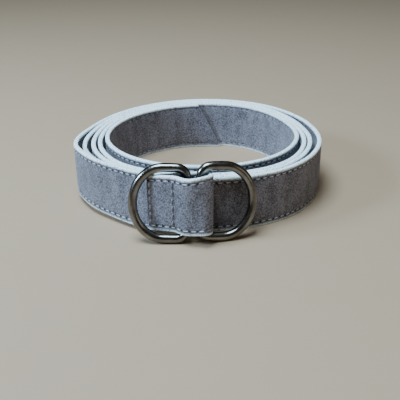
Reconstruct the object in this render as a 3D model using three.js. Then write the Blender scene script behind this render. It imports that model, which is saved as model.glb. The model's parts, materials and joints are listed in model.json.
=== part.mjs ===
// Double ring belt: a narrow leather strap rolled up on its long edge, whose outer
// end is folded round the straight bars of two D-shaped rings and sewn to itself.
// Millimetres, +Z up, +Y away from the rings. The origin is on the resting plane,
// under the middle of the whole belt.
import * as THREE from 'three';

// Strap
const strapWidth = 20;
const strapThickness = 1.6;
const strapEdgeChamfer = 0.4;
const tipSlant = 10; // how far the lower corner of the free tip runs past the upper one
const tipSlantTurn = 50; // degrees of winding over which the slanting eases out

// Coil
const openingRadius = 37; // mean radius of the open middle of the coil
const turns = 4.36; // from the free tip to where the outer end leaves the coil
const turnClearance = 0.2; // between turns that lie against each other
const looseGap = 5.3; // widest gap between two turns
const sectionAngle = 10; // degrees of winding from one cross-section to the next

// D-shaped rings
const wireDiameter = 3;
const ringClearHeight = 21.4; // inside, along the straight bar
const ringClearDepth = 15.2; // inside, from the bar to the far side of the bow
const ringBowDepth = 10.2; // depth of the half ellipse that closes the bow
const ringCornerRadius = 3.4; // of the wire's centre line
const ringLean = 12; // degrees, the tops lean back on the coil
const ringClearance = 0.35; // between a ring and the coil behind it
const wireSides = 12;

// Sewn loop that holds the two bars
const barSpacing = 4.3; // between the two bars' centre lines
const barClearance = 0.5; // between a bar and the leather round it
const foldSlack = 0.9; // room between the right bar and the fold
const plyGap = 0.35; // between the two plies where they are sewn together
const seamToFold = 13.6; // from the sewn row beside the bars to the fold
const flapLength = 21.6; // from the fold to the end of the turned-back flap
const foldReach = 4.8; // how far right of the coil's middle the fold ends
const loopRoll = 1; // degrees, the loop's upper edge leans to the right
const flapLiftShare = 0.72; // of the loop's lift, where the flap ends
const liftRun = 60; // degrees of winding over which the strap rises to the flap
const leanShare = 0.34; // of the strap's width, the reach of the loop's lean to the coil
const seamSetBack = 0.3; // how far the sewn row's middle line stands behind the bars
const pocketLead = 0.9; // the back ply is fully open this far before the left bar's middle
const runOutSections = 24;
const foldSections = 8;

// Share of openingRadius from the coil's middle to its inner face, by heading.
// Heading 0 is the right side, 90 the back, 180 the left, 270 the front.
const openingShape = [
  { heading: 0, share: 0.988 },
  { heading: 30, share: 1.027 },
  { heading: 60, share: 1.088 },
  { heading: 90, share: 1.064 },
  { heading: 120, share: 1.025 },
  { heading: 150, share: 0.986 },
  { heading: 180, share: 0.928 },
  { heading: 210, share: 0.838 },
  { heading: 240, share: 0.772 },
  { heading: 270, share: 0.749 },
  { heading: 300, share: 0.809 },
  { heading: 330, share: 0.907 },
];

// Share of looseGap by which a turn stands off the next one, by degrees wound from
// the free tip at the back of the coil.
const looseness = [
  { wound: 30, share: 0 },
  { wound: 75, share: 0.03 },
  { wound: 142, share: 0.95 },
  { wound: 180, share: 1 },
  { wound: 215, share: 1 },
  { wound: 285, share: 0 },
  { wound: 420, share: 0 },
  { wound: 467, share: 0.15 },
  { wound: 500, share: 0 },
  { wound: 590, share: 0 },
  { wound: 624, share: 0.08 },
  { wound: 650, share: 0 },
  { wound: 780, share: 0 },
  { wound: 825, share: 0.3 },
  { wound: 862, share: 0 },
  { wound: 925, share: 0 },
  { wound: 1008, share: 0.44 },
  { wound: 1060, share: 0 },
  { wound: 1130, share: 0 },
  { wound: 1185, share: 0.27 },
  { wound: 1235, share: 0 },
];

// How each ring stands: which way its bow points, how far the bow may swing back
// towards the coil, and how far its top leans to the right, in degrees.
const ringPoses = [
  { name: 'left_ring', side: -1, backSwing: 1.5, roll: 1.5 },
  { name: 'right_ring', side: 1, backSwing: 20, roll: 2 },
];

const tipHeading = 90;
const wireRadius = wireDiameter / 2;
const turnPitch = strapThickness + turnClearance;
const barHalfHeight = (ringClearHeight + wireDiameter) / 2;
const ringReach = ringClearDepth + wireDiameter;
const lean = THREE.MathUtils.degToRad(ringLean);
const plyOffset = (strapThickness + plyGap) / 2;
const loopOffset = wireRadius + barClearance + strapThickness / 2;

// Smooth value of a periodic table of evenly spaced headings.
function openingShare(heading) {
  const step = 360 / openingShape.length;
  const place = THREE.MathUtils.euclideanModulo(heading, 360) / step;
  const row = Math.floor(place);
  const t = place - row;
  const [a, b, c, d] = [-1, 0, 1, 2].map(
    (k) => openingShape[(row + k + openingShape.length) % openingShape.length].share,
  );
  const curve = (2 * a - 5 * b + 4 * c - d) * t * t + (3 * b - a - 3 * c + d) * t * t * t;
  return b + 0.5 * ((c - a) * t + curve);
}

// Share of looseGap after a given winding, eased from row to row.
function loosenessShare(wound) {
  const next = looseness.findIndex((row) => row.wound > wound);
  if (next <= 0) return 0;
  const [from, to] = [looseness[next - 1], looseness[next]];
  const t = (wound - from.wound) / (to.wound - from.wound);
  return THREE.MathUtils.lerp(from.share, to.share, t * t * (3 - 2 * t));
}

// Distance from the coil's middle to the strap's centre line after a given winding.
function coilRadius(wound) {
  if (wound < 360) {
    const inner = openingRadius * openingShare(tipHeading + wound);
    return inner + strapThickness / 2 + (turnPitch * wound) / 360;
  }
  return coilRadius(wound - 360) + turnPitch + looseGap * loosenessShare(wound - 360);
}

function coilPoint(wound) {
  const heading = THREE.MathUtils.degToRad(tipHeading + wound);
  const radius = coilRadius(wound);
  return new THREE.Vector2(radius * Math.cos(heading), radius * Math.sin(heading));
}

// The bars stand in front of the turn below, clear of the ply that runs behind them
// and leans on that turn's upper edge.
const turnsBelow = Math.floor(turns) - 1;
const frontWinding = 360 * turnsBelow + 270 - tipHeading;
const leanReach = strapWidth * leanShare * Math.tan(lean);
const frontFace = coilRadius(frontWinding) + strapThickness / 2;
const barY = -(frontFace + turnClearance + leanReach + strapThickness + barClearance + wireRadius);
const rightBarX = foldReach - strapThickness / 2 - loopOffset - foldSlack;
const leftBarX = rightBarX - barSpacing;
const seamX = foldReach - seamToFold;
const loopDirection = new THREE.Vector3(
  Math.sin(THREE.MathUtils.degToRad(loopRoll)),
  Math.sin(lean),
  Math.cos(lean),
).normalize();

// Centre line of a D-shaped ring in its own plane: x away from the bar, y along it.
function ringOutline() {
  const points = [];
  const bowStart = ringReach - ringBowDepth;
  const cornerMiddle = barHalfHeight - ringCornerRadius;
  const barSteps = 6;
  const cornerSteps = 4;
  const bowSteps = 24;
  for (let k = 0; k < barSteps; k += 1) {
    points.push([0, THREE.MathUtils.lerp(-cornerMiddle, cornerMiddle, k / barSteps)]);
  }
  for (let k = 0; k < cornerSteps; k += 1) {
    const turn = (Math.PI / 2) * (k / cornerSteps);
    points.push([
      ringCornerRadius * (1 - Math.cos(turn)),
      cornerMiddle + ringCornerRadius * Math.sin(turn),
    ]);
  }
  points.push([ringCornerRadius, barHalfHeight]);
  for (let k = 0; k <= bowSteps; k += 1) {
    const turn = Math.PI * (k / bowSteps);
    points.push([bowStart + ringBowDepth * Math.sin(turn), barHalfHeight * Math.cos(turn)]);
  }
  points.push([ringCornerRadius, -barHalfHeight]);
  for (let k = 1; k <= cornerSteps; k += 1) {
    const turn = (Math.PI / 2) * (k / cornerSteps);
    points.push([
      ringCornerRadius * (1 - Math.sin(turn)),
      -cornerMiddle - ringCornerRadius * Math.cos(turn),
    ]);
  }
  points.pop();
  return points.map(([x, y]) => new THREE.Vector3(x, y, 0));
}

// Joins cross-sections with the same number of corners into one closed body.
function sweep(sections, isLoop) {
  const corners = sections[0].length;
  const positions = sections.flat().flatMap((point) => point.toArray());
  const index = [];
  const spans = isLoop ? sections.length : sections.length - 1;
  for (let s = 0; s < spans; s += 1) {
    const here = s * corners;
    const there = ((s + 1) % sections.length) * corners;
    for (let c = 0; c < corners; c += 1) {
      const next = (c + 1) % corners;
      index.push(here + c, here + next, there + next, here + c, there + next, there + c);
    }
  }
  if (!isLoop) {
    const last = (sections.length - 1) * corners;
    for (let c = 1; c < corners - 1; c += 1) {
      index.push(0, c + 1, c, last, last + c, last + c + 1);
    }
  }
  const geometry = new THREE.BufferGeometry();
  geometry.setAttribute('position', new THREE.Float32BufferAttribute(positions, 3));
  geometry.setIndex(index);
  geometry.computeVertexNormals();
  return geometry;
}

// Round wire round a flat closed outline.
function wireGeometry(outline) {
  const sections = outline.map((point, k) => {
    const before = outline[(k + outline.length - 1) % outline.length];
    const after = outline[(k + 1) % outline.length];
    const along = after.clone().sub(before).normalize();
    const outward = new THREE.Vector3(-along.y, along.x, 0);
    return Array.from({ length: wireSides }, (_, side) => {
      const turn = (2 * Math.PI * (side + 0.5)) / wireSides;
      return point.clone()
        .addScaledVector(outward, wireRadius * Math.cos(turn))
        .add(new THREE.Vector3(0, 0, wireRadius * Math.sin(turn)));
    });
  });
  return sweep(sections, true);
}

// A ring's bar and bow directions and its bar's middle, standing on the resting plane
// with the bow swung back by some degrees.
function ringStance(pose, swing) {
  const roll = THREE.MathUtils.degToRad(pose.roll);
  const bar = new THREE.Vector3(Math.sin(roll), Math.sin(lean), Math.cos(lean)).normalize();
  const bow = new THREE.Vector3(pose.side, 0, 0);
  bow.addScaledVector(bar, -bow.dot(bar)).normalize();
  bow.applyAxisAngle(bar, pose.side * THREE.MathUtils.degToRad(swing));
  const heights = ringOutline().map((point) => point.x * bow.z + point.y * bar.z);
  const barX = pose.side < 0 ? leftBarX : rightBarX;
  const middle = new THREE.Vector3(barX, barY, wireRadius - Math.min(...heights));
  return { bar, bow, middle };
}

// Whether a ring in some stance stays in front of the coil's outermost whole turn.
function clearsCoil({ bar, bow, middle }) {
  return ringOutline().every((point) => {
    const place = middle.clone().addScaledVector(bow, point.x).addScaledVector(bar, point.y);
    if (place.z > strapWidth + wireDiameter) return true;
    const heading = THREE.MathUtils.radToDeg(Math.atan2(place.y, place.x));
    const wound = 360 * turnsBelow + THREE.MathUtils.euclideanModulo(heading - tipHeading, 360);
    const face = coilRadius(wound) + strapThickness / 2;
    return Math.hypot(place.x, place.y) > face + wireRadius + ringClearance;
  });
}

// The bow swings back as far as its row allows, or until it leans on the coil.
function restingStance(pose) {
  const swingStep = 0.25;
  let swing = pose.backSwing;
  while (swing > 0 && !clearsCoil(ringStance(pose, swing))) swing -= swingStep;
  return ringStance(pose, swing);
}

function makeRing(pose, material) {
  const { bar, bow, middle } = restingStance(pose);
  const facing = bow.clone().cross(bar);
  const ring = new THREE.Mesh(wireGeometry(ringOutline()), material);
  ring.name = pose.name;
  ring.quaternion.setFromRotationMatrix(new THREE.Matrix4().makeBasis(bow, bar, facing));
  ring.position.copy(middle);
  return ring;
}

// Middle line between the two sewn plies, from the coil to the bars, seen from above.
function seamLine() {
  const leave = 360 * turns;
  const points = [2, 1, 0].map((steps) => {
    const wound = leave - steps * sectionAngle;
    const point = coilPoint(wound);
    return point.clone().addScaledVector(point.clone().normalize(), plyOffset);
  });
  const seamRow = new THREE.Vector2(seamX, barY + seamSetBack);
  const leftBar = new THREE.Vector2(leftBarX, barY);
  const rightBar = new THREE.Vector2(rightBarX + foldSlack, barY);
  const all = [...points, seamRow, leftBar, rightBar];
  return new THREE.CatmullRomCurve3(all.map((p) => new THREE.Vector3(p.x, p.y, 0)));
}

// Rises from 0 to 1 between two places: quick at first and level at the end.
function riseBetween(value, from, to) {
  return Math.sin((Math.PI / 2) * THREE.MathUtils.clamp((value - from) / (to - from), 0, 1));
}

// The strap's centre line as stations: place seen from above, lift of the lower edge
// above the resting plane, and how far the width leans with the loop, 0 to 1.
function strapStations() {
  const { smoothstep, lerp } = THREE.MathUtils;
  const leave = 360 * turns;
  const flapEnd = foldReach - flapLength;
  const loopLift = loopHeight() - (strapWidth / 2) * Math.cos(lean);
  const coilLift = (wound) => flapLiftShare * loopLift * smoothstep(wound, leave - liftRun, leave);
  const stations = [];
  for (let wound = 0; wound < leave - 2 * sectionAngle; wound += sectionAngle) {
    stations.push({ ...coilPoint(wound), lift: coilLift(wound), share: 0, wound });
  }
  const line = seamLine();
  const plies = line.getSpacedPoints(runOutSections).map((point, k) => {
    const tangent = line.getTangentAt(k / runOutSections);
    const open = riseBetween(point.x, seamX, leftBarX - pocketLead);
    const rise = riseBetween(point.x, flapEnd, leftBarX);
    const wound = leave - 2 * sectionAngle * (1 - k / runOutSections);
    return {
      point,
      normal: new THREE.Vector2(-tangent.y, tangent.x),
      offset: lerp(plyOffset, loopOffset, open),
      lift: lerp(coilLift(wound), loopLift, rise),
      share: smoothstep(point.x, line.points[0].x, leftBarX),
    };
  });
  for (const { point, normal, offset, lift, share } of plies) {
    stations.push({ x: point.x + normal.x * offset, y: point.y + normal.y * offset, lift, share });
  }
  for (let k = 1; k < foldSections; k += 1) {
    const turn = Math.PI * (0.5 - k / foldSections);
    stations.push({
      x: rightBarX + foldSlack + loopOffset * Math.cos(turn),
      y: barY + loopOffset * Math.sin(turn),
      lift: loopLift,
      share: 1,
    });
  }
  for (const { point, normal, offset, lift, share } of plies.reverse()) {
    if (point.x < flapEnd) break;
    stations.push({ x: point.x - normal.x * offset, y: point.y - normal.y * offset, lift, share });
  }
  return stations;
}

// Height of the middle of the sewn loop, halfway up both bars.
function loopHeight() {
  const heights = ringPoses.map((pose) => restingStance(pose).middle.z);
  return heights.reduce((sum, height) => sum + height, 0) / heights.length;
}

// Corners of the strap's cross-section: across the thickness, and up the width.
function sectionCorners() {
  const halfThickness = strapThickness / 2;
  const halfWidth = strapWidth / 2;
  const c = strapEdgeChamfer;
  return [
    [-halfThickness, halfWidth - c],
    [-halfThickness + c, halfWidth],
    [halfThickness - c, halfWidth],
    [halfThickness, halfWidth - c],
    [halfThickness, halfWidth / 3],
    [halfThickness, -halfWidth / 3],
    [halfThickness, -halfWidth + c],
    [halfThickness - c, -halfWidth],
    [-halfThickness + c, -halfWidth],
    [-halfThickness, -halfWidth + c],
    [-halfThickness, -halfWidth / 3],
    [-halfThickness, halfWidth / 3],
  ];
}

// Direction across the thickness, outwards, of the coil after a given winding.
function coilAcross(wound) {
  const along = coilPoint(wound + 1).sub(coilPoint(wound - 1)).normalize();
  return new THREE.Vector3(along.y, -along.x, 0);
}

// A cross-section near the free tip, whose lower part runs on past the upper one.
function slantedSection(wound, place) {
  const slant = tipSlant * Math.max(0, 1 - wound / tipSlantTurn);
  return sectionCorners().map(([thick, wide]) => {
    const back = slant * (0.5 - wide / strapWidth);
    const at = wound - THREE.MathUtils.radToDeg(back / coilRadius(wound));
    const { x, y } = coilPoint(at);
    return new THREE.Vector3(x, y, place.middle.z)
      .addScaledVector(coilAcross(at), thick)
      .addScaledVector(place.up, wide);
  });
}

function strapGeometry() {
  const places = strapStations().map(({ x, y, lift, share, wound }) => {
    const up = new THREE.Vector3(0, 0, 1).lerp(loopDirection, share).normalize();
    const frontRise = share * (barY - y) * Math.tan(lean);
    const middle = new THREE.Vector3(x, y, lift + frontRise + (strapWidth / 2) * up.z);
    return { up, middle, wound };
  });
  const sections = places.map((place, k) => {
    if (place.wound < tipSlantTurn) return slantedSection(place.wound, place);
    const before = places[k - 1].middle;
    const after = places[Math.min(k + 1, places.length - 1)].middle;
    const along = after.clone().sub(before).normalize();
    const across = along.clone().cross(place.up).normalize();
    return sectionCorners().map(([thick, wide]) => {
      return place.middle.clone().addScaledVector(across, thick).addScaledVector(place.up, wide);
    });
  });
  return sweep(sections, false);
}

const leather = new THREE.MeshStandardMaterial({ color: 0x9b9fa6, roughness: 0.95, metalness: 0 });
const steel = new THREE.MeshStandardMaterial({ color: 0x77746f, roughness: 0.3, metalness: 1 });

const strap = new THREE.Mesh(strapGeometry(), leather);
strap.name = 'strap';

const belt = new THREE.Group();
belt.add(strap);
ringPoses.forEach((pose) => belt.add(makeRing(pose, steel)));

// The origin goes under the middle of the whole belt.
belt.updateMatrixWorld(true);
const bounds = new THREE.Box3().setFromObject(belt, true);
belt.position.set(-(bounds.min.x + bounds.max.x) / 2, -(bounds.min.y + bounds.max.y) / 2, -bounds.min.z);

export default belt;
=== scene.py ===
"""A narrow leather belt rolled up on its edge, with two D-shaped rings in its sewn end."""

import json
import math

import bpy
import numpy as np
from mathutils import Matrix, Vector

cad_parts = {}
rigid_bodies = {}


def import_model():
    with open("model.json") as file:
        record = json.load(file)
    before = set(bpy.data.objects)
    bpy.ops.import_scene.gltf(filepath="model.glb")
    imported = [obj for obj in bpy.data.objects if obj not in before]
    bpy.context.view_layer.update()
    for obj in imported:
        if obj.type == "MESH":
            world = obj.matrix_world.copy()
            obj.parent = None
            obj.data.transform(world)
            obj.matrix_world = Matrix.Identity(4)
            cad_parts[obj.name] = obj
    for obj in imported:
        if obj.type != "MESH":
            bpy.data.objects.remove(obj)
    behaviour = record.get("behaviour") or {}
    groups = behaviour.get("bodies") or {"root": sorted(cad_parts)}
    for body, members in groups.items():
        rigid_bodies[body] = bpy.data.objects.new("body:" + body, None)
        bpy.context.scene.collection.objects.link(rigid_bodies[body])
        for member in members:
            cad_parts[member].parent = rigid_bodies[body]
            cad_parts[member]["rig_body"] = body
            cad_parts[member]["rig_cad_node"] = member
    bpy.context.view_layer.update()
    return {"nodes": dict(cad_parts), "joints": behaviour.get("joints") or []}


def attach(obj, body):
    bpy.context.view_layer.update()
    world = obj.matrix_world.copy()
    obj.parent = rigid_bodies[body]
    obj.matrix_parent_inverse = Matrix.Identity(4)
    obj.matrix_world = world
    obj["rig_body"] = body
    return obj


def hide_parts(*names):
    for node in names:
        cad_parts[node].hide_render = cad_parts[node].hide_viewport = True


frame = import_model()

bl_info = {
    "name": "Double ring belt",
    "version": (1, 0, 0),
    "blender": (4, 5, 0),
    "location": "View3D > Sidebar > Belt",
    "description": "Builds a coiled leather belt with two D-rings, its stitching and a plain stage",
    "category": "Object",
}

MM = 0.001

# Sizes as in the part, in millimetres and degrees. Winding is counted in degrees round
# the coil from the free tip, which lies at its back.
STRAP_WIDTH = 20.0
STRAP_THICKNESS = 1.6
OPENING_RADIUS = 37.0  # mean radius of the open middle of the coil
TURNS = 4.36  # from the free tip to where the outer end leaves the coil
TURN_CLEARANCE = 0.2  # between turns that lie against each other
LOOSE_GAP = 5.3  # widest gap between two turns
TIP_HEADING = 90.0  # 0 is the coil's right side, 90 its back
RING_LEAN = 12.0  # the rings' tops lean back on the coil
LEAN_SHARE = 0.34  # of the strap's width, the reach of the loop's lean to the coil
WIRE_RADIUS = 1.5
BAR_SPACING = 4.3
BAR_CLEARANCE = 0.5  # between a bar and the leather round it
FOLD_SLACK = 0.9  # room between the right bar and the fold
PLY_GAP = 0.35  # between the two plies where they are sewn together
SEAM_TO_FOLD = 13.6
FLAP_LENGTH = 21.6  # from the fold to the end of the turned-back flap
FOLD_REACH = 4.8  # how far right of the coil's middle the fold ends
FLAP_LIFT_SHARE = 0.72  # of the loop's lift, where the flap ends
LIFT_RUN = 60.0  # winding over which the strap rises to the flap
SEAM_SET_BACK = 0.3  # how far the sewn row stands behind the bars
POCKET_LEAD = 0.9  # the ply behind is fully open this far before the left bar
LOOP_ROLL = 1.0  # the loop's upper edge leans to the right
RUN_OUT_TURN = 20.0  # winding over which the strap leaves the coil

# Finer shape of the leather, in the same units.
TIP_SLANT = 10.0  # how far the lower corner of the free tip runs past the upper one
TIP_SLANT_RUN = 34.0  # length over which the slanting eases out
TIP_TURN = 18.0  # winding that the slanted corner needs before the tip's upper one
POCKET_BULGE = 1.7  # how much further the ply in front stands off the bars
POCKET_START = 1.3  # past the seam, where the ply in front begins to stand off
POCKET_END = 0.2  # past the left bar, where it stands off in full
FOLD_NOSE = 0.75  # powers under 1 make the fold squarer than a half circle
FOLD_CHEEK = 0.85
FLAP_LEAN = 0.2  # share of the loop's lean that the sewn flap takes up

# Rows of the strap's centre line, and how they are smoothed.
PLY_ROWS = 140
FOLD_ROWS = 24
ROW_SPACING = 0.25
CREASE_ROWS = 4  # spread of the rounding of a crease

# What follows from them: the winding where the strap leaves the coil, how far a ply's
# middle lies from the middle between the plies, and places to the right of the coil's middle.
LEAVE = 360 * TURNS
PLY_OFFSET = (STRAP_THICKNESS + PLY_GAP) / 2
LOOP_OFFSET = WIRE_RADIUS + BAR_CLEARANCE + STRAP_THICKNESS / 2
SEAM_X = FOLD_REACH - SEAM_TO_FOLD
FLAP_END_X = FOLD_REACH - FLAP_LENGTH

# Stitching and what it does to the leather. Depths are shares of half the thickness.
PRESS_SPREAD = 0.55
PRESS_DEPTH = 0.16
CROWN_RUN = 3.0  # from the row of stitches to where the leather has its full thickness
CROWN_DEPTH = 0.05
THREAD_FLATNESS = 0.8
EDGE_THREAD_LEVEL = 0.8  # the edge rows are drawn into the leather
SEAM_THREAD_LEVEL = 0.97
EDGE_THREAD_SHARE = 0.74  # of the stitch length that shows as thread
SEAM_THREAD_SHARE = 0.84
TIP_STITCHES = 4  # left out, where the tip is cut on a slant
SEAM_STITCHES = 6  # in each row across the flap
SEAM_ROWS = (1.3, FLAP_LENGTH - SEAM_TO_FOLD + 1.7)  # back from the end of the flap

# Distances in the finishes, in metres: where a mark starts and where it has faded out.
EDGE_FADE = (0.0003, 0.0011)
EDGE_WANDER = 0.0007
HOLE_FADE = (0.00022, 0.00062)
CHANNEL_FADE = (0.0002, 0.0007)
STRAND_PITCH = 0.00042

# The camera's turn in degrees, its place in millimetres from the middle of the coil.
CAMERA_PITCH = 26.28
CAMERA_YAW = 0.1
CAMERA_ROLL = -0.77
CAMERA_BACK = 236.0
CAMERA_HEIGHT = 108.5
CAMERA_LENS = 57.6

# Soft round lights, in metres: name, place, target, diameter, colour.
LIGHTS = (
    ("top", (-0.12, -0.08, 0.6), (0, 0, 0), 0.35, (0.62, 0.83, 1.0)),
    ("left", (-0.57, -0.18, 0.34), (0, 0, 0.01), 0.16, (0.48, 0.73, 1.0)),
    ("right", (0.6, -0.35, 0.25), (0, 0, 0.01), 0.4, (1.0, 0.86, 0.66)),
)
ROOM_COLOUR = (1.0, 0.87, 0.68)
ROOM_STRENGTH = 0.07

# Share of OPENING_RADIUS to the coil's inner face, every 30 degrees from the right side
# over the back and the left to the front.
OPENING_SHAPE = (0.988, 1.027, 1.088, 1.064, 1.025, 0.986, 0.928, 0.838, 0.772, 0.749, 0.809, 0.907)

# How far a turn stands off the next one: degrees wound from the tip, share of LOOSE_GAP.
LOOSENESS = (
    (30, 0), (75, 0.03), (142, 0.95), (180, 1), (215, 1), (285, 0), (420, 0), (467, 0.15),
    (500, 0), (590, 0), (624, 0.08), (650, 0), (780, 0), (825, 0.3), (862, 0), (925, 0),
    (1008, 0.44), (1060, 0), (1130, 0), (1185, 0.27), (1235, 0),
)


def smooth_step(value, low, high):
    share = np.clip((value - low) / (high - low), 0, 1)
    return share * share * (3 - 2 * share)


def quick_rise(value, low, high):
    """Rises from 0 to 1 between two places: quick at first and level at the end."""
    return np.sin(np.pi / 2 * np.clip((value - low) / (high - low), 0, 1))


def opening_share(heading):
    """Smooth value of OPENING_SHAPE at a heading."""
    shares = np.array(OPENING_SHAPE)
    place = np.mod(heading, 360) / (360 / len(shares))
    row = np.floor(place).astype(int)
    t = place - row
    a, b, c, d = (shares[(row + k) % len(shares)] for k in (-1, 0, 1, 2))
    curve = (2 * a - 5 * b + 4 * c - d) * t**2 + (3 * b - a - 3 * c + d) * t**3
    return b + 0.5 * ((c - a) * t + curve)


def looseness_share(wound):
    rows = np.array(LOOSENESS)
    after = np.clip(np.searchsorted(rows[:, 0], wound, side="right"), 1, len(rows) - 1)
    before = rows[after - 1]
    t = smooth_step(wound, before[..., 0], rows[after][..., 0])
    return before[..., 1] + (rows[after][..., 1] - before[..., 1]) * t


def coil_radius(wound):
    """Distance from the coil's middle to the strap's centre line after a given winding."""
    pitch = STRAP_THICKNESS + TURN_CLEARANCE
    inner = OPENING_RADIUS * opening_share(TIP_HEADING + wound)
    radius = inner + STRAP_THICKNESS / 2 + pitch * wound / 360
    for turn in range(1, int(TURNS) + 1):
        radius = radius + LOOSE_GAP * looseness_share(wound - 360 * turn)
    return radius


def coil_points(wound):
    heading = np.radians(TIP_HEADING + wound)
    radius = coil_radius(wound)
    return np.stack([radius * np.cos(heading), radius * np.sin(heading)], axis=-1)


def even_line(points, count):
    """Evenly spaced points and their directions on a smooth curve through a few points."""
    points = np.array(points)
    ends = [2 * points[0] - points[1], *points, 2 * points[-1] - points[-2]]
    steps = 60
    t = np.linspace(0, 1, steps, endpoint=False)[:, None]
    fine = []
    for p0, p1, p2, p3 in zip(ends, ends[1:], ends[2:], ends[3:]):
        d0, d1, d2 = (math.sqrt(math.dist(a, b)) for a, b in ((p0, p1), (p1, p2), (p2, p3)))
        out = d1 * ((p1 - p0) / d0 - (p2 - p0) / (d0 + d1) + (p2 - p1) / d1)
        into = d1 * ((p2 - p1) / d1 - (p3 - p1) / (d1 + d2) + (p3 - p2) / d2)
        cubic = (2 * (p1 - p2) + out + into) * t**3 + (3 * (p2 - p1) - 2 * out - into) * t**2
        fine.append(cubic + out * t + p1)
    fine = np.concatenate([*fine, points[-1:]])
    run = travelled(fine)
    even = np.linspace(0, run[-1], count)
    places = np.stack([np.interp(even, run, fine[:, k]) for k in (0, 1)], axis=-1)
    return places, directions(places)


def travelled(places):
    """Distance along a line of points up to each of them."""
    return np.concatenate([[0], np.cumsum(np.linalg.norm(np.diff(places, axis=0), axis=1))])


def directions(places):
    ways = np.gradient(places, axis=0)
    return ways / np.linalg.norm(ways, axis=1)[:, None]


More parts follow.
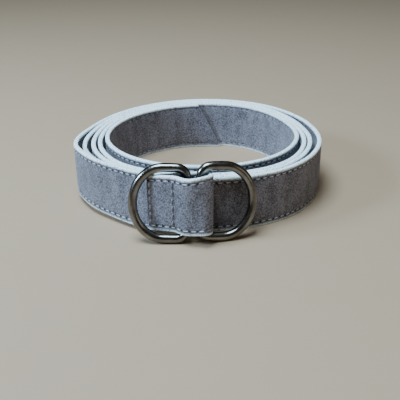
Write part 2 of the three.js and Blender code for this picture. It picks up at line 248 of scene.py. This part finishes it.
class StrapLine:
    """The strap's centre line from the free tip to the end of the flap, in millimetres.

    A row holds a place seen from above, the lift of the strap's lower edge and how far
    the strap's width leans with the loop, 0 to 1.
    """

    def __init__(self, bars):
        lean = math.radians(RING_LEAN)
        roll = math.radians(LOOP_ROLL)
        front_winding = 360.0 * int(TURNS - 1) + 270 - TIP_HEADING
        front_face = coil_radius(np.array(front_winding)) + STRAP_THICKNESS / 2
        lean_reach = STRAP_WIDTH * LEAN_SHARE * math.tan(lean)
        behind_bars = TURN_CLEARANCE + lean_reach + STRAP_THICKNESS + BAR_CLEARANCE
        self.bar_y = -(front_face + behind_bars + WIRE_RADIUS)
        self.right_x = FOLD_REACH - STRAP_THICKNESS / 2 - LOOP_OFFSET - FOLD_SLACK
        self.left_x = self.right_x - BAR_SPACING
        self.shift = np.array([bars[0].x - self.left_x, bars[0].y - self.bar_y])
        self.loop_lift = (bars[0].z + bars[1].z) / 2 - STRAP_WIDTH / 2 * math.cos(lean)
        self.loop_up = np.array([math.sin(roll), math.sin(lean), math.cos(lean)])
        self.loop_up /= np.linalg.norm(self.loop_up)

        ply_behind, flap = self.sewn_plies()
        rows = np.concatenate([self.coil_rows(), ply_behind, self.fold_rows(), flap])
        rows[:, 2] += rows[:, 3] * (self.bar_y - rows[:, 1]) * math.tan(lean)
        run = travelled(rows[:, :2])
        run -= run[int(TIP_TURN)]
        self.length = float(run[-1])
        self.run = np.linspace(run[0], self.length, int(self.length / ROW_SPACING))
        self.rows = self.softened(np.stack([np.interp(self.run, run, column) for column in rows.T], axis=-1))
        self.ways = directions(self.rows[:, :2])

    def coil_lift(self, wound):
        return FLAP_LIFT_SHARE * self.loop_lift * smooth_step(wound, LEAVE - LIFT_RUN, LEAVE)

    def coil_rows(self):
        """A row for each degree, from the slanted corner to where the strap leaves the coil."""
        wound = np.arange(-TIP_TURN, LEAVE - RUN_OUT_TURN, 1.0)
        return np.column_stack([coil_points(wound), self.coil_lift(wound), 0 * wound])

    def sewn_plies(self):
        """Rows of the ply behind the bars, and of the flap that comes back in front of them."""
        coil_end = coil_points(LEAVE - RUN_OUT_TURN * np.array([1, 0.5, 0]))
        coil_end += PLY_OFFSET * coil_end / np.linalg.norm(coil_end, axis=1)[:, None]
        seam = (SEAM_X, self.bar_y + SEAM_SET_BACK)
        bars = [(self.left_x, self.bar_y), (self.right_x + FOLD_SLACK, self.bar_y)]
        middle, way = even_line([*coil_end, seam, *bars], PLY_ROWS)
        backward = np.column_stack([-way[:, 1], way[:, 0]])
        x = middle[:, 0]
        below = self.coil_lift(LEAVE - RUN_OUT_TURN * (1 - np.linspace(0, 1, PLY_ROWS)))
        lift = below + (self.loop_lift - below) * quick_rise(x, FLAP_END_X, self.left_x)
        leaning = smooth_step(x, x[0], self.left_x)

        opened = quick_rise(x, SEAM_X, self.left_x - POCKET_LEAD)
        offset = PLY_OFFSET + (LOOP_OFFSET - PLY_OFFSET) * opened
        ply_behind = np.column_stack([middle + backward * offset[:, None], lift, leaning])

        opened = quick_rise(x, SEAM_X + POCKET_START, self.left_x + POCKET_END)
        offset = PLY_OFFSET + (LOOP_OFFSET + POCKET_BULGE - PLY_OFFSET) * opened
        leaning = leaning * (FLAP_LEAN + (1 - FLAP_LEAN) * smooth_step(x, self.left_x + 1, FOLD_REACH - 1))
        flap = np.column_stack([middle - backward * offset[:, None], lift, leaning])
        return ply_behind, flap[x >= FLAP_END_X][::-1]

    def fold_rows(self):
        """The squarish fold round the right bar, which reaches further in front than behind."""
        turn = np.pi * (0.5 - np.arange(1, FOLD_ROWS) / FOLD_ROWS)
        cheek = np.sign(np.sin(turn)) * np.abs(np.sin(turn)) ** FOLD_CHEEK
        x = self.right_x + FOLD_SLACK + LOOP_OFFSET * np.cos(turn) ** FOLD_NOSE
        y = self.bar_y - POCKET_BULGE / 2 + (LOOP_OFFSET + POCKET_BULGE / 2) * cheek
        return np.column_stack([x, y, 0 * turn + self.loop_lift, 0 * turn + 1])

    @staticmethod
    def softened(rows):
        """Rounds the creases that leather of this thickness can't make."""
        reach = 3 * CREASE_ROWS
        weights = np.exp(-0.5 * (np.arange(-reach, reach + 1) / CREASE_ROWS) ** 2)
        weights /= weights.sum()
        before = 2 * rows[0] - rows[reach:0:-1]
        after = 2 * rows[-1] - rows[-2:-reach - 2:-1]
        padded = np.concatenate([before, rows, after])
        return np.stack([np.convolve(column, weights, "valid") for column in padded.T], axis=-1)

    def place(self, along, thick, wide):
        """Where points of the flat strap come to lie once it is rolled up."""
        inside = np.clip(along, self.run[0], self.length)
        x, y, lift, leaning = (np.interp(inside, self.run, column) for column in self.rows.T)
        way = np.stack([np.interp(inside, self.run, column) for column in self.ways.T], axis=-1)
        way = np.column_stack([way, 0 * x])
        up = (1 - leaning)[:, None] * np.array([0, 0, 1.0]) + leaning[:, None] * self.loop_up
        up /= np.linalg.norm(up, axis=1)[:, None]
        across = np.cross(way, up)
        across /= np.linalg.norm(across, axis=1)[:, None]
        middle = np.column_stack([x + self.shift[0], y + self.shift[1], lift + STRAP_WIDTH / 2 * up[:, 2]])
        middle += way * (along - inside)[:, None]
        return middle + across * thick[:, None] + up * wide[:, None]


strap_line = StrapLine([Vector(joint["pos_m"]) / MM for joint in frame["joints"]])


class Number:
    """A shader value; an expression on it adds the Math nodes that it needs."""

    def __init__(self, finish, socket):
        self.finish = finish
        self.socket = socket

    def math(self, operation, *values):
        sockets = dict(enumerate([self, *values]))
        return self.finish.node("ShaderNodeMath", {"operation": operation}, sockets)[0]

    def __add__(self, other):
        return self.math("ADD", other)

    def __sub__(self, other):
        return self.math("SUBTRACT", other)

    def __mul__(self, other):
        return self.math("MULTIPLY", other)

    def __truediv__(self, other):
        return self.math("DIVIDE", other)

    def __pow__(self, other):
        return self.math("POWER", other)

    def __radd__(self, other):
        return self + other

    def __rsub__(self, other):
        return self * -1 + other

    def between(self, low, high):
        """0 below low, 1 above high, with an eased step."""
        settings = {"interpolation_type": "SMOOTHSTEP"}
        sockets = {"Value": self, "From Min": low, "From Max": high}
        return self.finish.node("ShaderNodeMapRange", settings, sockets)[0]


class Finish:
    """A new material, and the one way its nodes are added."""

    def __init__(self, name):
        self.material = bpy.data.materials.new(name)
        self.material.use_nodes = True
        self.tree = self.material.node_tree
        self.tree.nodes.clear()

    def node(self, kind, settings, sockets):
        """Adds a node and returns its outputs, by number or by name."""
        node = self.tree.nodes.new(kind)
        for name, value in settings.items():
            setattr(node, name, value)
        for key, value in sockets.items():
            if isinstance(value, Number):
                self.tree.links.new(value.socket, node.inputs[key])
            else:
                node.inputs[key].default_value = value
        outputs = {k: Number(self, socket) for k, socket in enumerate(node.outputs)}
        outputs.update({socket.name: Number(self, socket) for socket in node.outputs})
        return outputs

    def lay(self):
        """Place on the flat strap: along it, through it and up its width, in metres."""
        return self.node("ShaderNodeAttribute", {"attribute_name": "lay"}, {})["Vector"]

    def parts(self, vector):
        split = self.node("ShaderNodeSeparateXYZ", {}, {0: vector})
        return split[0], split[1], split[2]

    def shown(self, lay):
        """1 on the strap's outer face and on the turned-back flap, 0 on its inner face."""
        along, through, wide = self.parts(lay)
        flap_start = (strap_line.length - FLAP_LENGTH) * MM
        flap = along.between(flap_start, flap_start + MM)
        return through.between(-0.1 * MM, 0.1 * MM).math("MAXIMUM", flap)

    def stretched(self, vector, x, y, z):
        """A vector with each of its parts multiplied by a number."""
        settings = {"operation": "MULTIPLY"}
        return self.node("ShaderNodeVectorMath", settings, {0: vector, 1: (x, y, z)})[0]

    def noise(self, vector, scale, detail=2.0, roughness=0.5, distortion=0.0):
        sockets = {"Vector": vector, "Scale": scale, "Detail": detail}
        sockets.update({"Roughness": roughness, "Distortion": distortion})
        return self.node("ShaderNodeTexNoise", {}, sockets)["Fac"]

    def mix(self, factor, first, second):
        settings = {"data_type": "RGBA"}
        return self.node("ShaderNodeMix", settings, {0: factor, 6: first, 7: second})[2]

    def bump(self, height, strength, distance):
        sockets = {"Height": height, "Strength": strength, "Distance": distance}
        return self.node("ShaderNodeBump", {}, sockets)["Normal"]

    def surface(self, sockets):
        shader = self.node("ShaderNodeBsdfPrincipled", {}, sockets)["BSDF"]
        self.node("ShaderNodeOutputMaterial", {}, {"Surface": shader})
        return self.material


def rgba(colour):
    return (*colour, 1.0)


def suede(settings, stitching):
    """Napped leather with pale rolled edges, and painted shade in the needle holes and along the pressed
    stitch channels at its edges.
    """
    finish = Finish("suede_leather")
    lay = finish.lay()
    along, through, wide = finish.parts(lay)
    from_edge = STRAP_WIDTH / 2 * MM - wide.math("ABSOLUTE")

    streaks = finish.noise(finish.stretched(lay, 1, 1, 0.3), scale=240, distortion=0.6)
    mottle = finish.noise(lay, scale=520, detail=3, roughness=0.6)
    nap = finish.noise(finish.stretched(lay, 1, 1, 0.8), scale=2100, detail=3, roughness=0.7, distortion=0.2)
    fuzz = finish.noise(lay, scale=4600, roughness=0.6)
    grit = finish.noise(lay, scale=1500, roughness=0.6)
    tone = streaks * 0.35 + mottle * 0.2 + nap * 1.4 + fuzz * 0.75 - 0.85
    colour = finish.mix(tone.between(0.32, 0.7), rgba(settings.dark_tone), rgba(settings.light_tone))

    wander = (mottle - 0.5) * EDGE_WANDER
    edge = 1 - (from_edge + wander).between(*EDGE_FADE)
    specks = grit.between(0.36, 0.45)
    rubbed = finish.mix(specks, rgba(settings.edge_dark), rgba(settings.edge_tone))
    colour = finish.mix(edge, colour, rubbed)

    # Painted shade: the needle holes and the pressed channel of each edge row are darkened towards the
    # needle-hole shade colour, less on the inner face.
    pitch = stitching.pitch
    step = (along / pitch).math("FRACT") - 0.5
    beside_hole = (0.5 - step.math("ABSOLUTE")) * pitch
    off_row = from_edge - stitching.inset
    to_hole = (beside_hole**2 + off_row**2) ** 0.5
    hole = 1 - to_hole.between(*HOLE_FADE)
    channel = 1 - off_row.math("ABSOLUTE").between(*CHANNEL_FADE)
    stitch_shade = (channel * 0.35 + hole * 0.6) * (0.25 + finish.shown(lay) * 0.75)
    colour = finish.mix(stitch_shade, colour, rgba(settings.hole_shade))

    height = nap * 0.7 + fuzz * 0.4 + mottle * 0.2 - hole * 1.4 - channel * 0.5
    return finish.surface({
        "Base Color": colour,
        "Roughness": 0.95 - edge * 0.2 + (nap - 0.5) * 0.1,
        "Specular IOR Level": 0.25,
        "Sheen Weight": 0.22,
        "Sheen Roughness": 0.5,
        "Sheen Tint": (0.8, 0.87, 1.0, 1.0),
        "Normal": finish.bump(height, strength=0.85, distance=0.00022),
    })


def thread(name, colour, shade):
    """Waxed sewing thread: two strands laid round each other."""
    finish = Finish(name)
    lay = finish.lay()
    along, through, wide = finish.parts(lay)
    strands = ((along + wide * 0.8 + through * 0.8) * (2 * math.pi / STRAND_PITCH)).math("SINE")
    fluff = finish.noise(lay, scale=3000, roughness=0.6)
    tone = (strands * 0.25 + fluff).between(0.15, 0.75)
    laid = finish.mix(tone, rgba(shade), rgba(colour))
    return finish.surface({
        "Base Color": finish.mix(finish.shown(lay), rgba(shade), laid),
        "Roughness": 0.55 + fluff * 0.25,
        "Sheen Weight": 0.15,
        "Normal": finish.bump(strands + fluff * 0.6, strength=0.5, distance=0.00005),
    })


def dark_nickel(settings):
    """Polished dark plating with faint rubbing marks."""
    finish = Finish("dark_nickel")
    place = finish.node("ShaderNodeTexCoord", {}, {})["Object"]
    cloud = finish.noise(place, scale=160, detail=3, roughness=0.6)
    smeared = finish.stretched(place, 1, 1, 0.3)
    smear = finish.noise(smeared, scale=900, detail=3, roughness=0.65, distortion=0.4)
    scuffs = finish.noise(place, scale=2600).between(0.6, 0.78)
    warm = finish.mix(cloud.between(0.35, 0.65), rgba(settings.metal_dark), rgba(settings.metal_light))
    return finish.surface({
        "Base Color": warm,
        "Metallic": 1.0,
        "Roughness": settings.roughness + cloud * 0.1 + smear * 0.1 + scuffs * 0.08 - 0.08,
        "Normal": finish.bump(smear + scuffs * 0.5, strength=0.1, distance=0.00006),
    })


def plain_floor(settings):
    finish = Finish("plain_floor")
    place = finish.node("ShaderNodeTexCoord", {}, {})["Object"]
    grain = finish.noise(place, scale=60, detail=3, roughness=0.6)
    return finish.surface({
        "Base Color": finish.mix(grain * 0.12, rgba(settings.floor_colour), rgba(settings.grain_colour)),
        "Roughness": 0.75,
    })


def start_piece():
    """Leaves nothing selected, so that operators act on the new piece alone."""
    if bpy.context.object and bpy.context.object.mode != "OBJECT":
        bpy.ops.object.mode_set(mode="OBJECT")
    bpy.ops.object.select_all(action="DESELECT")


def apply_place(piece):
    """Moves the piece's place, turn and size into its mesh."""
    start_piece()
    piece.select_set(True)
    bpy.context.view_layer.objects.active = piece
    bpy.ops.object.transform_apply(location=True, rotation=True, scale=True)


def modify(piece, kind, **settings):
    """Adds a modifier and applies it."""
    bpy.context.view_layer.objects.active = piece
    modifier = piece.modifiers.new(kind.title(), kind)
    for name, value in settings.items():
        setattr(modifier, name, value)
    bpy.ops.object.modifier_apply(modifier=modifier.name)


def corners(piece):
    places = np.empty(len(piece.data.vertices) * 3)
    piece.data.vertices.foreach_get("co", places)
    return places.reshape(-1, 3)


def put_corners(piece, places):
    piece.data.vertices.foreach_set("co", places.ravel())
    piece.data.update()


def press_and_trim(flat, stitching):
    """Thins the flat strap along its stitching, crowns it and cuts its tip on a slant."""
    along, thick, wide = flat[:, 0] / MM, -flat[:, 1] / MM, flat[:, 2] / MM
    from_edge = STRAP_WIDTH / 2 - np.abs(wide)
    inset = stitching.inset / MM
    pressed = np.exp(-(((from_edge - inset) / PRESS_SPREAD) ** 2))
    crown = smooth_step(from_edge, inset, inset + CROWN_RUN)
    thick = thick * (1 - PRESS_DEPTH * pressed - CROWN_DEPTH * (1 - crown))
    slant = TIP_SLANT * np.clip(1 - along / TIP_SLANT_RUN, 0, 1)
    along = along - slant * (0.5 - wide / STRAP_WIDTH)
    return along, thick, wide


def roll_up(piece, along, thick, wide):
    """Lays a piece of the flat strap along the coil and keeps where it was as "lay"."""
    flat = np.column_stack([along, thick, wide]) * MM
    lay = piece.data.attributes.new("lay", "FLOAT_VECTOR", "POINT")
    lay.data.foreach_set("vector", flat.astype(np.float32).ravel())
    put_corners(piece, strap_line.place(along, thick, wide) * MM)


def length_setting(name, description, default):
    return bpy.props.FloatProperty(name=name, description=description, default=default, unit="LENGTH")


def power_setting(name, description, default):
    return bpy.props.FloatProperty(name=name, description=description, default=default, unit="POWER")


def colour_setting(name, description, default):
    return bpy.props.FloatVectorProperty(name=name, description=description, default=default, subtype="COLOR")


class StrapSettings(bpy.types.PropertyGroup):
    thickness: length_setting("Thickness", "Through the strap's faces", 0.00174)
    edge_rounding: length_setting("Edge rounding", "Radius of the strap's long edges", 0.0004)
    light_tone: colour_setting("Light tone", "Raised nap", (0.28, 0.262, 0.305))
    dark_tone: colour_setting("Dark tone", "Brushed-down nap", (0.075, 0.069, 0.077))
    edge_tone: colour_setting("Edge tone", "Pale cut edges", (0.85, 0.96, 1.0))
    edge_dark: colour_setting("Edge specks", "Specks in the cut edges", (0.3, 0.33, 0.36))
    # Painted shade colour for the needle holes and the stitch channels.
    hole_shade: colour_setting("Needle holes", "Shade in the needle holes", (0.03, 0.03, 0.035))


class StitchSettings(bpy.types.PropertyGroup):
    pitch: length_setting("Stitch length", "From one needle hole to the next", 0.0026)
    inset: length_setting("Row inset", "From the strap's edge to the row", 0.0017)
    thickness: length_setting("Thread thickness", "Width of one stitch", 0.00052)
    colour: colour_setting("Thread", "Lit side of the thread", (0.72, 0.75, 0.8))
    shade: colour_setting("Thread shade", "Between its strands", (0.26, 0.26, 0.3))
    seam_colour: colour_setting("Cross thread", "Thread of the rows across the flap", (0.42, 0.43, 0.5))


class RingSettings(bpy.types.PropertyGroup):
    swell: length_setting("Swell", "Gives back what smoothing takes off the wire", 0.00012)
    metal_light: colour_setting("Metal", "Plating where it is clean", (0.25, 0.24, 0.225))
    metal_dark: colour_setting("Metal shade", "Plating where it has dulled", (0.15, 0.14, 0.13))
    roughness: bpy.props.FloatProperty(
        name="Roughness", description="Blur of the plating's reflections", default=0.2, subtype="FACTOR")


class StageSettings(bpy.types.PropertyGroup):
    floor_colour: colour_setting("Floor", "Plain pale floor", (0.38, 0.26, 0.165))
    grain_colour: colour_setting("Floor grain", "Faint paler grain in the floor", (0.4, 0.34, 0.27))
    top_power: power_setting("Top light", "Soft light above the coil", 8.0)
    left_power: power_setting("Left light", "Cool light from the left", 5.5)
    right_power: power_setting("Right light", "Warm, weak light from the right", 0.3)


class BELT_OT_strap(bpy.types.Operator):
    """Make the strap flat, press and cut it, and roll it up"""

    bl_idname = "belt.strap"
    bl_label = "Strap"

    def execute(self, context):
        settings = context.scene.belt_strap
        stitching = context.scene.belt_stitches
        length = strap_line.length * MM
        start_piece()
        bpy.ops.mesh.primitive_grid_add(
            x_subdivisions=900, y_subdivisions=20, size=1, location=(length / 2, 0, 0),
            rotation=(math.pi / 2, 0, 0),
        )
        strap = context.object
        strap.name = "suede_strap"
        bpy.ops.object.mode_set(mode="EDIT")
        bpy.ops.transform.resize(value=(length, 1, STRAP_WIDTH * MM))
        bpy.ops.object.mode_set(mode="OBJECT")
        apply_place(strap)
        modify(strap, "SOLIDIFY", thickness=settings.thickness, offset=0)
        modify(strap, "BEVEL", width=settings.edge_rounding, segments=3, limit_method="ANGLE")
        roll_up(strap, *press_and_trim(corners(strap), stitching))
        bpy.ops.object.shade_smooth_by_angle(angle=math.radians(50))
        strap.data.materials.append(suede(settings, stitching))
        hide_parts("strap")
        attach(strap, "strap")
        return {"FINISHED"}


def stitch_row(count, first, step, length, thickness):
    """A straight row of stitches on the flat strap, each a short oval of thread."""
    start_piece()
    bpy.ops.mesh.primitive_uv_sphere_add(segments=8, ring_count=6, radius=0.5, rotation=(0, math.pi / 2, 0))
    row = bpy.context.object
    bpy.ops.object.mode_set(mode="EDIT")
    bpy.ops.mesh.select_all(action="SELECT")
    bpy.ops.transform.resize(value=(thickness, thickness * THREAD_FLATNESS, length), orient_type="LOCAL")
    bpy.ops.object.mode_set(mode="OBJECT")
    row.location = first
    apply_place(row)
    modify(row, "ARRAY", count=count, use_relative_offset=False, use_constant_offset=True,
           constant_offset_displace=step)
    return row


def join_rows(rows, name):
    start_piece()
    for row in rows:
        row.select_set(True)
    bpy.context.view_layer.objects.active = rows[0]
    bpy.ops.object.join()
    rows[0].name = name
    return rows[0]


def finish_stitches(piece, material):
    flat = corners(piece)
    roll_up(piece, flat[:, 0] / MM, -flat[:, 1] / MM, flat[:, 2] / MM)
    bpy.ops.object.shade_smooth()
    piece.data.materials.append(material)
    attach(piece, "strap")


class BELT_OT_edge_stitches(bpy.types.Operator):
    """Sew a row along both long edges, on both faces"""

    bl_idname = "belt.edge_stitches"
    bl_label = "Edge stitches"

    def execute(self, context):
        stitching = context.scene.belt_stitches
        pitch = stitching.pitch
        height = STRAP_WIDTH / 2 * MM - stitching.inset
        face = STRAP_THICKNESS / 2 * MM * EDGE_THREAD_LEVEL
        count = int(strap_line.length * MM / pitch) - TIP_STITCHES
        step = (pitch, 0, 0)
        shown = pitch * EDGE_THREAD_SHARE
        material = thread("pale_thread", stitching.colour, stitching.shade)
        for side, name in ((-1, "outer_stitches"), (1, "inner_stitches")):
            rows = []
            for level in (-1, 1):
                first = (pitch * (TIP_STITCHES + 0.5), side * face, level * height)
                rows.append(stitch_row(count, first, step, shown, stitching.thickness))
            finish_stitches(join_rows(rows, name), material)
        return {"FINISHED"}


class BELT_OT_seam_stitches(bpy.types.Operator):
    """Sew the two rows across the flap"""

    bl_idname = "belt.seam_stitches"
    bl_label = "Seam stitches"

    def execute(self, context):
        stitching = context.scene.belt_stitches
        pitch = (STRAP_WIDTH * MM - 2 * stitching.inset) / SEAM_STITCHES
        face = STRAP_THICKNESS / 2 * MM * SEAM_THREAD_LEVEL
        low = stitching.inset + pitch / 2 - STRAP_WIDTH / 2 * MM
        step = (0, 0, pitch)
        shown = pitch * SEAM_THREAD_SHARE
        rows = []
        for back in SEAM_ROWS:
            first = ((strap_line.length - back) * MM, face, low)
            rows.append(stitch_row(SEAM_STITCHES, first, step, stitching.thickness, shown))
        piece = join_rows(rows, "seam_stitches")
        finish_stitches(piece, thread("grey_thread", stitching.seam_colour, stitching.shade))
        return {"FINISHED"}


class BELT_OT_rings(bpy.types.Operator):
    """Smooth both D-rings and plate them"""

    bl_idname = "belt.rings"
    bl_label = "D-rings"

    def execute(self, context):
        settings = context.scene.belt_rings
        material = dark_nickel(settings)
        for name in ("left_ring", "right_ring"):
            start_piece()
            ring = frame["nodes"][name].copy()
            ring.data = ring.data.copy()
            ring.data.materials.clear()
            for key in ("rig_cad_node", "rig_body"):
                if key in ring:
                    del ring[key]
            ring.parent = None
            ring.name = name + "_plated"
            context.scene.collection.objects.link(ring)
            ring.select_set(True)
            context.view_layer.objects.active = ring
            bpy.ops.object.mode_set(mode="EDIT")
            bpy.ops.mesh.select_all(action="SELECT")
            bpy.ops.mesh.remove_doubles(threshold=1e-6)
            bpy.ops.mesh.tris_convert_to_quads()
            bpy.ops.object.mode_set(mode="OBJECT")
            modify(ring, "SUBSURF", levels=2, render_levels=2)
            modify(ring, "DISPLACE", strength=settings.swell, mid_level=0)
            bpy.ops.object.shade_smooth()
            ring.data.materials.append(material)
            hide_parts(name)
            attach(ring, name)
        return {"FINISHED"}


def add_light(name, place, target, size, power, colour):
    light = bpy.data.lights.new(name, "AREA")
    light.shape = "DISK"
    light.size = size
    light.energy = power
    light.color = colour
    lamp = bpy.data.objects.new(name, light)
    bpy.context.scene.collection.objects.link(lamp)
    lamp.location = place
    lamp.rotation_euler = (Vector(target) - Vector(place)).to_track_quat("-Z", "Y").to_euler()


def add_camera():
    """The photograph's view: a little above the coil, straight from its front."""
    pitch, yaw, roll = (math.radians(turn) for turn in (CAMERA_PITCH, CAMERA_YAW, CAMERA_ROLL))
    forward = Vector((math.sin(yaw) * math.cos(pitch), math.cos(yaw) * math.cos(pitch), -math.sin(pitch)))
    right = forward.cross(Vector((0, 0, 1))).normalized()
    up = right.cross(forward)
    right, up = right * math.cos(roll) + up * math.sin(roll), up * math.cos(roll) - right * math.sin(roll)
    camera = bpy.data.objects.new("camera", bpy.data.cameras.new("camera"))
    bpy.context.scene.collection.objects.link(camera)
    camera.data.lens = CAMERA_LENS
    camera.data.sensor_width = 36
    camera.data.clip_start = 0.01
    turn = Matrix((right, up, -forward)).transposed()
    place = Vector((strap_line.shift[0], strap_line.shift[1] - CAMERA_BACK, CAMERA_HEIGHT)) * MM
    camera.matrix_world = Matrix.Translation(place) @ turn.to_4x4()
    bpy.context.scene.camera = camera


class BELT_OT_stage(bpy.types.Operator):
    """Set up the plain floor, the soft lights and the camera"""

    bl_idname = "belt.stage"
    bl_label = "Stage"

    def execute(self, context):
        settings = context.scene.belt_stage
        start_piece()
        bpy.ops.mesh.primitive_plane_add(size=6)
        floor = context.object
        floor.name = "floor"
        floor.data.materials.append(plain_floor(settings))
        for name, place, target, size, colour in LIGHTS:
            add_light(name + "_light", place, target, size, getattr(settings, name + "_power"), colour)
        world = bpy.data.worlds.new("soft_room")
        world.use_nodes = True
        background = world.node_tree.nodes["Background"]
        background.inputs["Color"].default_value = rgba(ROOM_COLOUR)
        background.inputs["Strength"].default_value = ROOM_STRENGTH
        context.scene.world = world
        add_camera()
        return {"FINISHED"}


class BELT_PT_panel(bpy.types.Panel):
    bl_label = "Belt"
    bl_idname = "BELT_PT_panel"
    bl_space_type = "VIEW_3D"
    bl_region_type = "UI"
    bl_category = "Belt"

    def draw(self, context):
        for operator in OPERATORS:
            self.layout.operator(operator.bl_idname)
        for group in SETTINGS:
            box = self.layout.box()
            for prop in SETTINGS[group].__annotations__:
                box.prop(getattr(context.scene, group), prop)


OPERATORS = (BELT_OT_strap, BELT_OT_edge_stitches, BELT_OT_seam_stitches, BELT_OT_rings, BELT_OT_stage)
SETTINGS = {
    "belt_strap": StrapSettings,
    "belt_stitches": StitchSettings,
    "belt_rings": RingSettings,
    "belt_stage": StageSettings,
}


def register():
    for kind in (*SETTINGS.values(), *OPERATORS, BELT_PT_panel):
        bpy.utils.register_class(kind)
    for name, kind in SETTINGS.items():
        setattr(bpy.types.Scene, name, bpy.props.PointerProperty(type=kind))


def unregister():
    for name in SETTINGS:
        delattr(bpy.types.Scene, name)
    for kind in reversed((*SETTINGS.values(), *OPERATORS, BELT_PT_panel)):
        bpy.utils.unregister_class(kind)


def main():
    register()
    bpy.ops.belt.strap()
    bpy.ops.belt.edge_stitches()
    bpy.ops.belt.seam_stitches()
    bpy.ops.belt.rings()
    bpy.ops.belt.stage()


if __name__ == "__main__":
    main()
